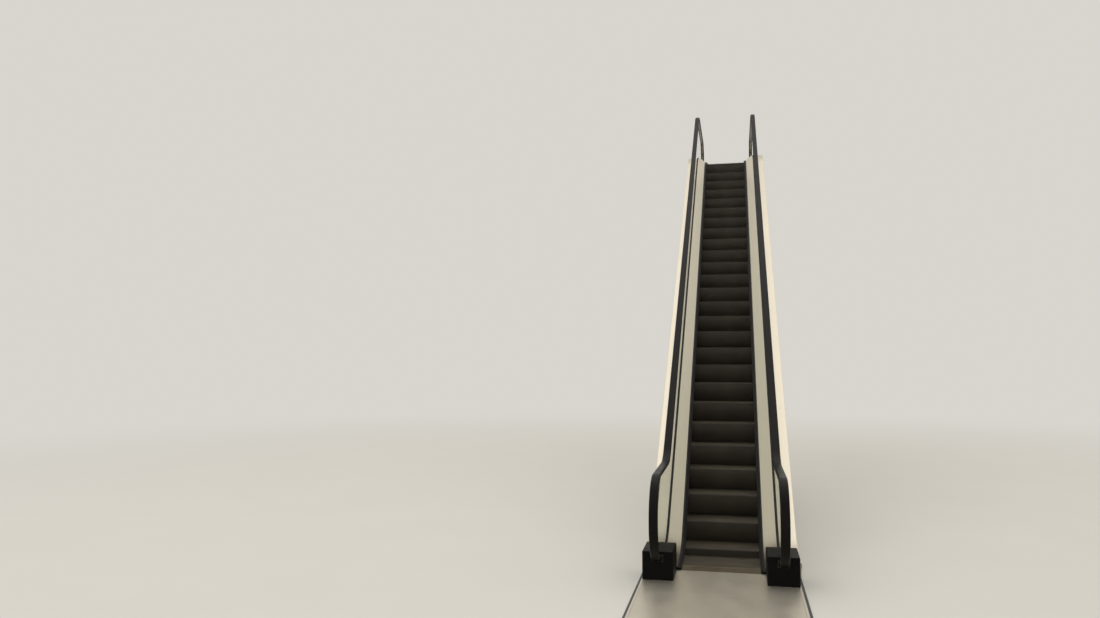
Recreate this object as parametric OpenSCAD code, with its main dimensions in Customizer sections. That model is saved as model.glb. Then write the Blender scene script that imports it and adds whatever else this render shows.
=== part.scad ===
// Escalator with a straight flight, glass balustrades and two level landings.
// Origin: centre line of the flight, at the tips of the lower comb, on the ground.
// +X is to the right for a rider going up, +Y runs up the flight, +Z is up.

/* [Flight] */
// Height from the lower floor plates to the upper ones
rise = 6000; // [4000:10:6000]
// Angle of the flight to the horizontal
incline = 35; // [30:0.5:35]
// From the lower comb's tips to where the nose line meets the level treads
lower_run = 360; // [340:5:700]
// From where the nose line reaches the upper level to the upper comb's tips
upper_run = 1470; // [900:5:1600]
// Radius of the nose line at the lower bend
lower_bend_r = 1000; // [900:10:1060]
// Radius of the nose line at the upper bend
upper_bend_r = 1500; // [1200:10:2000]

/* [Steps] */
// Width of a step
step_w = 800; // [600:1:1000]
// Distance from one nose to the next along the flight
step_pitch = 405; // [400:1:410]
// Gap between the level treads of two steps
step_gap = 5; // [3:0.5:6]
// Distance along the nose line from the lower bend to one of the noses
step_phase = 379; // [0:1:404]
// Distance between the grooves of a tread, coarser than the real 9 mm
cleat_pitch = 32; // [16:1:60]
// Depth of the grooves
cleat_depth = 11; // [8:0.5:12]
// Width of a groove as a share of the cleat pitch
groove_share = 0.62; // [0.5:0.01:0.7]

/* [Landings] */
// Thickness of the steel base frame on the ground
base_t = 8; // [6:1:12]
// Thickness of the floor plates
plate_t = 18; // [16:1:24]
// How far the floor plates stand above the level treads
comb_lip = 6; // [4:0.5:8]
// Length of the comb teeth
comb_len = 38; // [25:1:60]
// Depth of a comb plate from the teeth's tips to its outer edge
comb_plate_d = 260; // [180:5:300]
// From the lower comb's tips to the end of the lower floor plates
lower_landing = 1900; // [1500:10:2400]
// From the upper comb's tips to the end of the upper floor plates
upper_landing = 1800; // [1500:10:2600]
// Longest cover plate of a landing
cover_l = 900; // [600:10:1400]

/* [Balustrades] */
// Clearance between a step and the skirt
skirt_gap = 4; // [3:0.5:5]
// Thickness of the skirt
skirt_t = 6; // [4:0.5:8]
// Depth of the skirt below the nose line
skirt_drop = 150; // [120:5:180]
// From the skirt's face to the glass, along the width
inner_deck_w = 136; // [110:1:160]
// Height of the inner deck's foot above the nose line, square to it
deck_foot = 40; // [30:1:60]
// Height of the decks at the glass above the nose line, square to it
deck_top = 130; // [100:1:160]
// Thickness of the deck sheets
deck_t = 4; // [3:0.5:6]
// Height of the brush deflector above the nose line
brush_n = 22; // [18:1:24]
// Reach of the brush deflector from the skirt
brush_reach = 42; // [33:1:50]
// From the glass to the outer deck's edge
outer_deck_w = 178; // [160:1:200]
// Fall of the outer deck towards its edge
outer_deck_fall = 6; // [0:1:12]
// Depth of the lip at the outer deck's edge
outer_lip = 56; // [30:1:80]
// Longest sheet of decking on the flight
sheet_l = 2400; // [1500:10:3200]
// Thickness of the glass
glass_t = 10; // [8:0.5:12]
// Width of the channel that clamps the glass
channel_w = 36; // [30:1:50]
// Depth of the glass in its channel
glass_seat = 55; // [40:1:70]
// Length of a glass panel along the flight
glass_panel_l = 1440; // [1000:10:1800]
// Joint between two glass panels
glass_joint = 4; // [2:0.5:6]

/* [Handrails] */
// Height of the handrail above the floor plates
rail_h_landing = 940; // [900:5:1000]
// Height of the handrail above the nose line
rail_h_flight = 920; // [900:5:1000]
// Width of the handrail
rail_w = 80; // [70:1:90]
// Thickness of the handrail
rail_t = 32; // [28:1:36]
// Radius of the handrail's turn at a newel
newel_r = 385; // [340:5:400]
// From a comb's tips to the centre of the newel's turn
newel_reach = 670; // [640:5:760]
// Radius of the handrail at the lower bend
rail_lower_r = 600; // [500:10:700]
// Radius of the handrail at the upper bend
rail_upper_r = 900; // [700:10:1200]
// Width of the guide's head inside the handrail
guide_head_w = 42; // [36:1:46]
// Width of the guide's web over the glass
guide_web_w = 16; // [14:1:24]

/* [Handrail boxes] */
// Height of a handrail box above the floor plates
box_h = 250; // [240:1:320]
// Width of a handrail box
box_w = 278; // [250:1:282]
// Radius of the box's upright edges
box_edge_r = 14; // [6:1:24]
// Radius of the edges round the box's top
box_top_r = 10; // [4:1:16]

/* [Housing] */
// Depth of the housing below the nose line, square to it
truss_depth = 984; // [900:2:1050]
// Thickness of the side cladding
cladding_t = 16; // [10:1:18]
// Thickness of the soffit
soffit_t = 16; // [10:1:20]
// Longest cladding panel, measured on the level
clad_panel_l = 1600; // [1000:10:2400]
// Open joint between two cladding panels
clad_joint = 5; // [3:0.5:8]
// Thickness of the plate that closes the upper end
end_t = 10; // [6:1:16]

/* [Hidden] */
$fn = 64;
fit = 0.3;
cut = 1;
arc_steps = 10;
turn_steps = 24;
edge_steps = 4;
sheet_joint = 0.6;
cover_joint = 2;
tail = 60;
seat = 36;
clad_gap = 2;
box_gap = 1;
side_names = ["left", "right"];

// Levels and stations
plate_z = base_t + plate_t;
tread_z = plate_z - comb_lip;
upper_z = rise;
upper_wp = lower_run + rise / tan(incline);
upper_comb = upper_wp + upper_run;
lower_end = -lower_landing;
upper_end = upper_comb + upper_landing;
housing_end = upper_end - end_t;
box_front = newel_reach;
box_back = comb_plate_d;
box_top = plate_z + box_h;

// Across the width
skirt_x = step_w / 2 + skirt_gap;
glass_x = skirt_x + inner_deck_w;
channel_x0 = glass_x + glass_t / 2 - channel_w / 2;
channel_x1 = channel_x0 + channel_w;
rail_x = glass_x + glass_t / 2;
outer_x = rail_x + outer_deck_w;
clad_x1 = outer_x - deck_t - clad_gap;
clad_x0 = clad_x1 - cladding_t;
box_x0 = skirt_x + box_gap;
frame_edge = 27;
plate_half_w = clad_x1 - frame_edge;

// A run is a level, a bend, the flight, a bend and a level.
// [start y, end y, lower z, upper z, y of the lower corner, lower radius, upper radius]
nose_run = [-box_back, upper_comb + box_back, tread_z, tread_z + upper_z, lower_run,
            lower_bend_r, upper_bend_r];
rail_low = plate_z + rail_h_landing;
rail_high = rail_low + upper_z;
rail_corner = lower_run + (rail_low - tread_z - rail_h_flight) / tan(incline);
rail_run = [-newel_reach, upper_comb + newel_reach, rail_low, rail_high, rail_corner,
            rail_lower_r, rail_upper_r];

function lower_centre(run) = [run[4] - run[5] * tan(incline / 2), run[2] + run[5]];
function upper_centre(run) = [run[4] + (run[3] - run[2]) / tan(incline) + run[6] * tan(incline / 2),
                              run[3] - run[6]];
function on_arc(c, r, a) = c + r * [cos(a), sin(a)];
function arc(c, r, a0, a1, m = arc_steps) = [for (i = [0:m]) on_arc(c, r, a0 + (a1 - a0) * i / m)];
function reversed(p) = [for (i = [len(p) - 1:-1:0]) p[i]];

// Underside of the upper floor plates
floor_z = plate_z + upper_z - plate_t;

// Points of a run moved out by n, square to the run, from its start to its end
function run_points(run, n) = concat(
    [[run[0], run[2] + n]],
    arc(lower_centre(run), run[5] - n, -90, -90 + incline),
    arc(upper_centre(run), run[6] + n, 90 + incline, 90),
    [[run[1], run[3] + n]]);

// Point of the nose line at the distance s from the start of the lower bend
bend_l = lower_bend_r * incline * PI / 180;
bend_u = upper_bend_r * incline * PI / 180;
flight_l = rise / sin(incline) - (lower_bend_r + upper_bend_r) * tan(incline / 2);
function nose(s) =
    s < 0 ? [lower_centre(nose_run)[0] + s, tread_z]
    : s < bend_l ? on_arc(lower_centre(nose_run), lower_bend_r, -90 + s / lower_bend_r * 180 / PI)
    : s < bend_l + flight_l ? on_arc(lower_centre(nose_run), lower_bend_r, -90 + incline)
        + (s - bend_l) * [cos(incline), sin(incline)]
    : s < bend_l + flight_l + bend_u ? on_arc(upper_centre(nose_run), upper_bend_r,
        90 + incline - (s - bend_l - flight_l) / upper_bend_r * 180 / PI)
    : [upper_centre(nose_run)[0] + s - bend_l - flight_l - bend_u, tread_z + upper_z];

// Point on the flight at the distance q from the lower corner and n above the nose line
function on_flight(q, n) = [lower_run, tread_z] + q * [cos(incline), sin(incline)]
    + n * [-sin(incline), cos(incline)];

// Places a child drawn in Y and Z as a plate from x to x + t
module plate(x, t) {
    rotate([90, 0, 90]) translate([0, 0, x]) linear_extrude(t) children();
}

// Puts a child that is drawn on the right on the side that is named
module on_side(side) {
    if (side == "left") mirror([1, 0, 0]) children();
    else children();
}

// Carries a profile drawn in X and n along a run, in butted lengths as sheet metal comes
module sweep(run) {
    low = lower_centre(run);
    high = upper_centre(run);
    foot = on_arc(low, run[5], -90 + incline);
    head = on_arc(high, run[6], 90 + incline);
    flight = norm(head - foot);
    lengths = ceil(flight / sheet_l);
    piece = flight / lengths;
    translate([0, low[0] - sheet_joint / 2, run[2]]) rotate([90, 0, 0])
        linear_extrude(low[0] - run[0] - sheet_joint / 2) children();
    rotate([90, 0, 90]) translate(low) rotate(-90) rotate_extrude(angle = incline)
        translate([run[5], 0]) rotate(90) children();
    translate([0, head[0], head[1]]) rotate([incline + 90, 0, 0])
        for (i = [0:lengths - 1]) translate([0, 0, i * piece + sheet_joint / 2])
            linear_extrude(piece - sheet_joint) children();
    rotate([90, 0, 90]) translate(high) rotate(90) rotate_extrude(angle = incline)
        translate([run[6], 0]) mirror([1, -1]) children();
    translate([0, run[1], run[3]]) rotate([90, 0, 0])
        linear_extrude(run[1] - high[0] - sheet_joint / 2) children();
}

// Stations of a handrail, from box to box: [y, z, angle of the outward normal]
function rail_stations() =
    let (a = [-newel_reach, rail_low - newel_r], b = [upper_comb + newel_reach, rail_high - newel_r],
        low = lower_centre(rail_run), high = upper_centre(rail_run))
    concat(
        [[a[0] + tail, a[1] - newel_r, 270]],
        [for (i = [0:turn_steps]) let (t = 270 - 180 * i / turn_steps, q = on_arc(a, newel_r, t))
            [q[0], q[1], t]],
        [for (i = [0:arc_steps]) let (t = -90 + incline * i / arc_steps, q = on_arc(low, rail_lower_r, t))
            [q[0], q[1], t + 180]],
        [for (i = [0:arc_steps]) let (t = 90 + incline * (1 - i / arc_steps), q = on_arc(high, rail_upper_r, t))
            [q[0], q[1], t]],
        [for (i = [0:turn_steps]) let (t = 90 - 180 * i / turn_steps, q = on_arc(b, newel_r, t))
            [q[0], q[1], t]],
        [[b[0] - tail, b[1] - newel_r, -90]]);

// Carries a closed profile of [x, n] points along the stations of a handrail
module rail_sweep(profile) {
    stations = rail_stations();
    m = len(profile);
    last = len(stations) - 1;
    points = [for (q = stations, p = profile)
        [rail_x + p[0], q[0] + p[1] * cos(q[2]), q[1] + p[1] * sin(q[2])]];
    sides = [for (i = [0:last - 1], j = [0:m - 1])
        [i * m + j, i * m + (j + 1) % m, (i + 1) * m + (j + 1) % m, (i + 1) * m + j]];
    caps = [[for (j = [m - 1:-1:0]) j], [for (j = [0:m - 1]) last * m + j]];
    polyhedron(points, concat(sides, caps), convexity = 10);
}

// Housing
// Where the underside of the housing meets the base frame
ground_q = (base_t - tread_z + truss_depth * cos(incline)) / sin(incline);
ground_y = on_flight(ground_q, -truss_depth)[0];
soffit_ground_q = (base_t - tread_z + (truss_depth + soffit_t) * cos(incline)) / sin(incline);
soffit_ground_y = on_flight(soffit_ground_q, -truss_depth - soffit_t)[0];

// Underside of the housing from the ground to its upper end
function underside(n, y) = concat(
    [[y, base_t]],
    arc(upper_centre(nose_run), upper_bend_r + n, 90 + incline, 90),
    [[housing_end, tread_z + upper_z + n]]);

module base_frame() {
    color("dimgray") translate([-clad_x1, lower_end, 0])
        cube([2 * clad_x1, soffit_ground_y - lower_end, base_t]);
}

module truss_side(side) {
    color("gray") on_side(side) plate(skirt_x + skirt_t, clad_x0 - skirt_x - skirt_t)
        polygon(concat(underside(-truss_depth, ground_y),
            [[housing_end, floor_z]], [[nose_run[1], floor_z]],
            reversed(run_points(nose_run, seat)), [[nose_run[0], base_t]]));
}

// Bed under the steps, which carries their lower edges
tread_d = step_pitch - step_gap;
heel_a = incline + 2;
heel = tread_d * [1 - cos(heel_a), -sin(heel_a)];
bed_drop = heel + [0, -fit];
bed_start_s = bend_l + (base_t - tread_z - bed_drop[1] - lower_bend_r * (1 - cos(incline)))
    / sin(incline);
module track_bed() {
    w = skirt_x + skirt_t;
    bed = [for (p = concat([nose(bed_start_s)],
        arc(upper_centre(nose_run), upper_bend_r, 90 + incline, 90),
        [[upper_comb + comb_len, tread_z + upper_z]])) p + bed_drop];
    lowest = bed[len(bed) - 1][1];
    color("dimgray") union() {
        plate(-w, 2 * w) polygon(concat(underside(-truss_depth, ground_y), [[housing_end, lowest]],
            reversed(bed)));
        translate([-skirt_x + fit, upper_comb + comb_len, lowest - cut])
            cube([2 * (skirt_x - fit), housing_end - upper_comb - comb_len, floor_z - lowest + cut]);
    }
}

// Panels of the cladding share their open joints with those of the soffit
clad_panels = ceil((housing_end - nose_run[0]) / clad_panel_l);
clad_pitch = (housing_end - nose_run[0]) / clad_panels;
module panelled() {
    difference() {
        children();
        for (i = [1:clad_panels - 1])
            translate([nose_run[0] + i * clad_pitch - clad_joint / 2, 0])
                square([clad_joint, 2 * rise]);
    }
}

module cladding(side) {
    n_top = deck_top - deck_t - outer_deck_fall;
    color("lightgray") on_side(side) plate(clad_x0, cladding_t) panelled()
        polygon(concat(underside(-truss_depth - soffit_t, soffit_ground_y),
            [[housing_end, floor_z]], [[nose_run[1], floor_z]],
            reversed(run_points(nose_run, n_top)), [[nose_run[0], base_t]]));
}

module soffit() {
    color("lightgray") plate(-clad_x0, 2 * clad_x0) panelled()
        polygon(concat(underside(-truss_depth - soffit_t, soffit_ground_y),
            reversed(underside(-truss_depth, ground_y))));
}

module upper_end_plate() {
    low = tread_z + upper_z - truss_depth - soffit_t;
    color("dimgray") translate([-clad_x1, housing_end, low])
        cube([2 * clad_x1, end_t, floor_z - low]);
}

// Landings
// Row of cover plates from y = 0, with a narrow joint between two of them
module covers(l) {
    count = ceil(l / cover_l);
    for (i = [0:count - 1])
        translate([-plate_half_w, i * l / count + (i > 0 ? cover_joint : 0), 0])
            cube([2 * plate_half_w, l / count - (i > 0 ? cover_joint : 0), plate_t]);
}

module lower_floor_plates() {
    color("silver") translate([0, lower_end, base_t]) covers(lower_landing - box_back);
}

module upper_floor_plates() {
    color("silver") translate([0, upper_comb + box_back, floor_z]) covers(upper_landing - box_back);
}

grooves = floor((step_w - cleat_pitch * (1 - groove_share)) / cleat_pitch);
groove_w = groove_share * cleat_pitch;
function groove_x(i) = (i - (grooves - 1) / 2) * cleat_pitch;
tooth_play = 1;
tooth_w = groove_w - 2 * tooth_play;
tip_t = 3;
tip_drop = comb_lip + 2;
tooth_clear = 3;
teeth_a_segment = 6;
segment_d = comb_len + 60;
segments = ceil(grooves / teeth_a_segment);

// X of the joint before a comb segment, halfway between two teeth
function segment_x(j) =
    j == 0 ? -skirt_x + fit : j == segments ? skirt_x - fit : groove_x(j * teeth_a_segment) - cleat_pitch / 2;

// Comb plate with its row of toothed segments, tips at y = 0
module comb() {
    plate(-skirt_x + fit, 2 * (skirt_x - fit))
        polygon([[-comb_plate_d, 0], [-segment_d - sheet_joint, 0],
            [-segment_d - sheet_joint, plate_t], [-comb_plate_d, plate_t]]);
    for (j = [0:segments - 1]) {
        x0 = segment_x(j) + (j > 0 ? sheet_joint : 0);
        plate(x0, segment_x(j + 1) - x0)
            polygon([[-segment_d, 0], [-comb_len, 0], [-comb_len, plate_t], [-segment_d, plate_t]]);
    }
    for (i = [0:grooves - 1])
        plate(groove_x(i) - tooth_w / 2, tooth_w)
            polygon([[-comb_len - cut, 0], [-comb_len - cut, plate_t],
                [-comb_len, plate_t], [0, plate_t - tip_drop], [0, plate_t - tip_drop - tip_t],
                [-comb_len, plate_t - comb_lip - cleat_depth + tooth_clear]]);
}

module lower_comb_plate() {
    color("tan") translate([0, 0, base_t]) comb();
}

module upper_comb_plate() {
    color("tan") translate([0, upper_comb, floor_z]) mirror([0, 1, 0]) comb();
}

// Steps
first_step = ceil((-comb_len + fit - lower_centre(nose_run)[0] - tread_d - step_phase) / step_pitch);
last_s = bend_l + flight_l + bend_u + upper_comb - upper_centre(nose_run)[0] + comb_len - fit;
shortest_step = 20;
last_step = floor((last_s - shortest_step - step_phase) / step_pitch);
past = 1.2;
riser_fn = 180;

// Side of a groove, which runs over the tread and down the riser
module groove_side() {
    translate([-cut, -cleat_depth]) square([tread_d + 2 * cut, cleat_depth + cut]);
    translate([tread_d, 0]) difference() {
        circle(r = tread_d + cut, $fn = riser_fn);
        circle(r = tread_d - cleat_depth, $fn = riser_fn);
    }
}

module step(k) {
    p = nose(step_phase + k * step_pitch);
    translate([0, p[0], p[1]]) difference() {
        plate(-step_w / 2, step_w) intersection() {
            translate([tread_d, 0]) circle(r = tread_d, $fn = riser_fn);
            polygon([[-cut, 0], [tread_d, 0], [tread_d, 0] + past * (heel - [tread_d, 0]),
                [-cut, past * heel[1]]]);
            translate([-comb_len + fit - p[0], base_t + fit - p[1]])
                square([upper_comb + 2 * comb_len - 2 * fit, 2 * rise]);
        }
        for (i = [0:grooves - 1]) plate(groove_x(i) - groove_w / 2, groove_w) groove_side();
    }
}

third = floor((last_step - first_step) / 3);
module steps_lower() {
    color("darkslategray") for (k = [first_step:first_step + third]) step(k);
}
module steps_middle() {
    color("darkslategray") for (k = [first_step + third + 1:first_step + 2 * third + 1]) step(k);
}
module steps_upper() {
    color("darkslategray") for (k = [first_step + 2 * third + 2:last_step]) step(k);
}

// Balustrades
module skirt(side) {
    color("black") on_side(side) plate(skirt_x, skirt_t)
        intersection() {
            polygon(concat(run_points(nose_run, -skirt_drop),
                reversed(run_points(nose_run, deck_foot - deck_t))));
            translate([nose_run[0] - cut, base_t]) square([upper_end + box_back, 2 * rise]);
        }
}

// Holder of the brush deflector with its bristles, which fall a little towards their tips
holder_w = 14;
holder_t = 12;
bristle_t = 8;
tip_fall = 4;
module skirt_brush(side) {
    holder_x = skirt_x - holder_w;
    tip_x = skirt_x - brush_reach;
    color("black") on_side(side) sweep(nose_run)
        polygon([[skirt_x - fit, brush_n], [skirt_x - fit, brush_n + holder_t],
            [holder_x, brush_n + holder_t], [holder_x, brush_n + bristle_t],
            [tip_x, brush_n + bristle_t - tip_fall], [tip_x, brush_n - tip_fall / 2],
            [holder_x, brush_n]]);
}

deck_slope = atan2(deck_top - deck_foot, channel_x0 - skirt_x);
module inner_deck(side) {
    color("gainsboro") on_side(side) sweep(nose_run)
        polygon([[skirt_x, deck_foot - deck_t], [skirt_x, deck_foot], [channel_x0, deck_top],
            [channel_x0, deck_top - deck_t / cos(deck_slope)], [skirt_x + skirt_t, deck_foot - deck_t]]);
}

module outer_deck(side) {
    low = deck_top - outer_deck_fall;
    color("gainsboro") on_side(side) sweep(nose_run)
        polygon([[channel_x1, deck_top], [outer_x, low], [outer_x, low - outer_lip],
            [outer_x - deck_t, low - outer_lip], [outer_x - deck_t, low - deck_t],
            [channel_x1, deck_top - deck_t]]);
}

module glass_channel(side) {
    color("darkslategray") on_side(side) sweep(nose_run)
        polygon([[channel_x0, seat], [channel_x0, deck_top], [glass_x - fit, deck_top],
            [glass_x - fit, deck_top - glass_seat - fit],
            [glass_x + glass_t + fit, deck_top - glass_seat - fit],
            [glass_x + glass_t + fit, deck_top], [channel_x1, deck_top], [channel_x1, seat]]);
}

// Glass between its seat and the handrail's guide
glass_n0 = deck_top - glass_seat;
guide_reach = 18;
guide_drop = rail_t + guide_reach;
glass_n1 = rail_h_flight * cos(incline) - guide_drop - fit;
newel_glass_r = newel_r - guide_drop - fit;
lower_pane_l = 420;
upper_pane_l = 200;
first_joint = lower_bend_r * tan(incline / 2) + lower_pane_l;
last_joint = rise / sin(incline) - upper_bend_r * tan(incline / 2) - upper_pane_l;
panels = round((last_joint - first_joint) / glass_panel_l);
panel_l = (last_joint - first_joint) / panels;

module glass_panels(side) {
    color("lightcyan", 0.4) on_side(side) plate(glass_x, glass_t)
        for (i = [0:panels - 1])
            polygon([on_flight(first_joint + i * panel_l + glass_joint, glass_n0),
                on_flight(first_joint + (i + 1) * panel_l, glass_n0),
                on_flight(first_joint + (i + 1) * panel_l, glass_n1),
                on_flight(first_joint + i * panel_l + glass_joint, glass_n1)]);
}

module lower_newel_glass(side) {
    c = [-newel_reach, rail_low - newel_r];
    color("lightcyan", 0.4) on_side(side) plate(glass_x, glass_t)
        polygon(concat(
            [on_flight(first_joint, glass_n1), on_flight(first_joint, glass_n0)],
            arc(lower_centre(nose_run), lower_bend_r - glass_n0, -90 + incline, -90),
            [[-box_back + fit, tread_z + glass_n0], [-box_back + fit, box_top + fit],
                [-box_front - fit, box_top + fit]],
            arc(c, newel_glass_r, 270, 90, turn_steps),
            arc(lower_centre(rail_run), rail_lower_r + guide_drop + fit, -90, -90 + incline)));
}

module upper_newel_glass(side) {
    c = [upper_comb + newel_reach, rail_high - newel_r];
    color("lightcyan", 0.4) on_side(side) plate(glass_x, glass_t)
        polygon(concat(
            [on_flight(last_joint + glass_joint, glass_n0), on_flight(last_joint + glass_joint, glass_n1)],
            arc(upper_centre(rail_run), rail_upper_r - guide_drop - fit, 90 + incline, 90),
            arc(c, newel_glass_r, 90, -90, turn_steps),
            [[upper_comb + box_front + fit, box_top + upper_z + fit],
                [upper_comb + box_back - fit, box_top + upper_z + fit],
                [upper_comb + box_back - fit, tread_z + upper_z + glass_n0]],
            arc(upper_centre(nose_run), upper_bend_r + glass_n0, 90, 90 + incline)));
}

// Handrails
// Half of the handrail's profile, from its lip round the outside to the top
lip_x = guide_head_w / 2 + fit;
slot_n = -11;
rail_half = concat(
    [[lip_x, slot_n], [lip_x, -rail_t]],
    arc([(rail_w - rail_t) / 2, -rail_t / 2], rail_t / 2, -90, 90, edge_steps));
rail_profile = concat(rail_half, reversed([for (p = rail_half) [-p[0], p[1]]]));
head_x = guide_head_w / 2;
web_x = guide_web_w / 2;
head_fall = -2;
guide_profile = [[-web_x, -guide_drop], [web_x, -guide_drop], [web_x, -rail_t + head_fall],
    [head_x, -rail_t + fit], [head_x, slot_n - fit], [-head_x, slot_n - fit],
    [-head_x, -rail_t + fit], [-web_x, -rail_t + head_fall]];

module handrail(side) {
    color("black") on_side(side) rail_sweep(rail_profile);
}

module handrail_guide(side) {
    color("silver") on_side(side) rail_sweep(guide_profile);
}

// Handrail boxes
mouth_edge = 12;
mouth_w = rail_w + 2 * mouth_edge;
mouth_z0 = rail_low - 2 * newel_r - mouth_edge;
mouth_above = 20;
mouth_behind = 10;
mouth_h = guide_drop + mouth_above;
mouth_depth = tail + mouth_behind;
box_l = box_front - box_back;

// Rectangle from the origin with its two far corners rounded, or only the one on its right
module rounded_end(w, l, r, only_right = false) {
    square([w, l - r]);
    translate([only_right ? 0 : r, 0]) square([w - (only_right ? r : 2 * r), l]);
    for (x = only_right ? [w - r] : [r, w - r]) translate([x, l - r]) circle(r = r);
}

module handrail_box() {
    difference() {
        translate([0, -box_back, plate_z]) intersection() {
            linear_extrude(box_h) translate([box_x0, 0]) mirror([0, 1])
                rounded_end(box_w, box_l, box_edge_r);
            translate([box_x0, 0, 0]) rotate([90, 0, 0]) linear_extrude(box_l)
                rounded_end(box_w, box_h, box_top_r);
            plate(box_x0, box_w) mirror([1, 0]) rounded_end(box_l, box_h, box_top_r, only_right = true);
        }
        translate([rail_x - mouth_w / 2, -box_front - cut, mouth_z0])
            cube([mouth_w, mouth_depth + cut, mouth_h]);
    }
}

module lower_box(side) {
    color("black") on_side(side) handrail_box();
}

module upper_box(side) {
    color("black") on_side(side) translate([0, upper_comb, upper_z]) mirror([0, 1, 0]) handrail_box();
}

// Rubber collar in the mouth of a handrail box, round the handrail
collar_inset = 4;
collar_t = 30;
collar_gap = 2;
module inlet_collar() {
    difference() {
        translate([rail_x - mouth_w / 2 + fit, -box_front + collar_inset, mouth_z0 + fit])
            cube([mouth_w - 2 * fit, collar_t, mouth_h - 2 * fit]);
        translate([rail_x - rail_w / 2 - collar_gap, -box_front, mouth_z0 + mouth_edge - collar_gap])
            cube([rail_w + 2 * collar_gap, 2 * collar_t, rail_t + 2 * collar_gap]);
        translate([rail_x - guide_web_w / 2 - collar_gap, -box_front, mouth_z0 + mouth_edge])
            cube([guide_web_w + 2 * collar_gap, 2 * collar_t, guide_drop + collar_gap]);
    }
}

module collars() {
    color("dimgray") for (side = side_names) {
        on_side(side) inlet_collar();
        on_side(side) translate([0, upper_comb, upper_z]) mirror([0, 1, 0]) inlet_collar();
    }
}

// Angle that bears on the upper floor's beam
bearing_t = 20;
bearing_d = 160;
bearing_drop = 150;
bearing_below = 30;
bearing_z = floor_z - bearing_below;
hole_span = 1000;
hole_r = 11;
hole_edge = 60;
module upper_bearing() {
    color("dimgray") difference() {
        union() {
            translate([-plate_half_w, upper_end, bearing_z - bearing_t])
                cube([2 * plate_half_w, bearing_d, bearing_t]);
            translate([-plate_half_w, upper_end, bearing_z - bearing_t - bearing_drop])
                cube([2 * plate_half_w, bearing_t, bearing_drop + bearing_t]);
        }
        for (x = [-hole_span / 2, hole_span / 2])
            translate([x, upper_end + bearing_d - hole_edge, bearing_z - bearing_t - cut])
                cylinder(r = hole_r, h = bearing_t + 2 * cut);
    }
}

base_frame();
truss_side("left");  // truss_side_left
truss_side("right");  // truss_side_right
track_bed();
cladding("left");  // cladding_left
cladding("right");  // cladding_right
soffit();
lower_floor_plates();
upper_floor_plates();
lower_comb_plate();
upper_comb_plate();
steps_lower();
steps_middle();
steps_upper();
skirt("left");  // skirt_left
skirt("right");  // skirt_right
skirt_brush("left");  // skirt_brush_left
skirt_brush("right");  // skirt_brush_right
inner_deck("left");  // inner_deck_left
inner_deck("right");  // inner_deck_right
outer_deck("left");  // outer_deck_left
outer_deck("right");  // outer_deck_right
glass_channel("left");  // glass_channel_left
glass_channel("right");  // glass_channel_right
glass_panels("left");  // glass_panels_left
glass_panels("right");  // glass_panels_right
lower_newel_glass("left");  // lower_newel_glass_left
lower_newel_glass("right");  // lower_newel_glass_right
upper_newel_glass("left");  // upper_newel_glass_left
upper_newel_glass("right");  // upper_newel_glass_right
handrail("left");  // handrail_left
handrail("right");  // handrail_right
handrail_guide("left");  // handrail_guide_left
handrail_guide("right");  // handrail_guide_right
lower_box("left");  // lower_box_left
lower_box("right");  // lower_box_right
upper_box("left");  // upper_box_left
upper_box("right");  // upper_box_right
collars();  // inlet_collars
upper_end_plate();
upper_bearing();
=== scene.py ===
"""Looks of an escalator with glass balustrades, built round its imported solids. Lengths are in metres."""
import math

import bmesh
import bpy
from mathutils import Matrix, Vector


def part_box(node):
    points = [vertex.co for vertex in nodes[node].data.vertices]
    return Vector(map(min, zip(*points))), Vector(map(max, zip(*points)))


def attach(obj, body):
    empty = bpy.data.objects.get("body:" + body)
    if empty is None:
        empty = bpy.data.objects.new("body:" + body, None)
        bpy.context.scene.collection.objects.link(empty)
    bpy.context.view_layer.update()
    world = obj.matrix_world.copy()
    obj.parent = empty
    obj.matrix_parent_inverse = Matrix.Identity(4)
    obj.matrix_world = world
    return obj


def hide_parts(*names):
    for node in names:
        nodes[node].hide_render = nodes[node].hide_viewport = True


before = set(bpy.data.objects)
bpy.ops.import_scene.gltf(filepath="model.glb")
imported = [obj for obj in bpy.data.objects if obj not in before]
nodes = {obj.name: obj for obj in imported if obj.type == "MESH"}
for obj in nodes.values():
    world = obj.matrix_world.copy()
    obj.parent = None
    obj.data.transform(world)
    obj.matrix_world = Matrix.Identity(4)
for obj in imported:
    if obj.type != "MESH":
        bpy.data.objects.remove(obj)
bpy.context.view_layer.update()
MM = 0.001

# Sizes of the flight, as the solids have them
RISE = 6.0
INCLINE = math.radians(35)
LOWER_RUN = 0.36
UPPER_RUN = 1.47
LOWER_R = 1.0
UPPER_R = 1.5
BASE_T = 8 * MM
PLATE_T = 18 * MM
PLATE_Z = BASE_T + PLATE_T
TREAD_Z = PLATE_Z - 6 * MM
UPPER_COMB = LOWER_RUN + RISE / math.tan(INCLINE) + UPPER_RUN
LOWER_END = -1.9
UPPER_END = UPPER_COMB + 1.8
PLATE_X = 0.69
COMB_LEN = 38 * MM
COMB_D = 0.26
GAP = 0.3 * MM
BEND_STEPS = 14
NEWEL_STEPS = 40

# Sizes of the steps
STEP_W = 0.8
STEP_PITCH = 0.405
TREAD_D = 0.4
STEP_PHASE = 0.379
HEEL = math.radians(37)
CLEAT_TOP = 3.2 * MM
CLEAT_DEPTH = 10 * MM
CLEATS = 88
CLEAT_PITCH = (STEP_W - CLEAT_TOP) / (CLEATS - 1)
CLEAT_DRAFT = 0.5 * MM
HEEL_SHELF = 12 * MM
STEP_FOOT = 35 * MM

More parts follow.
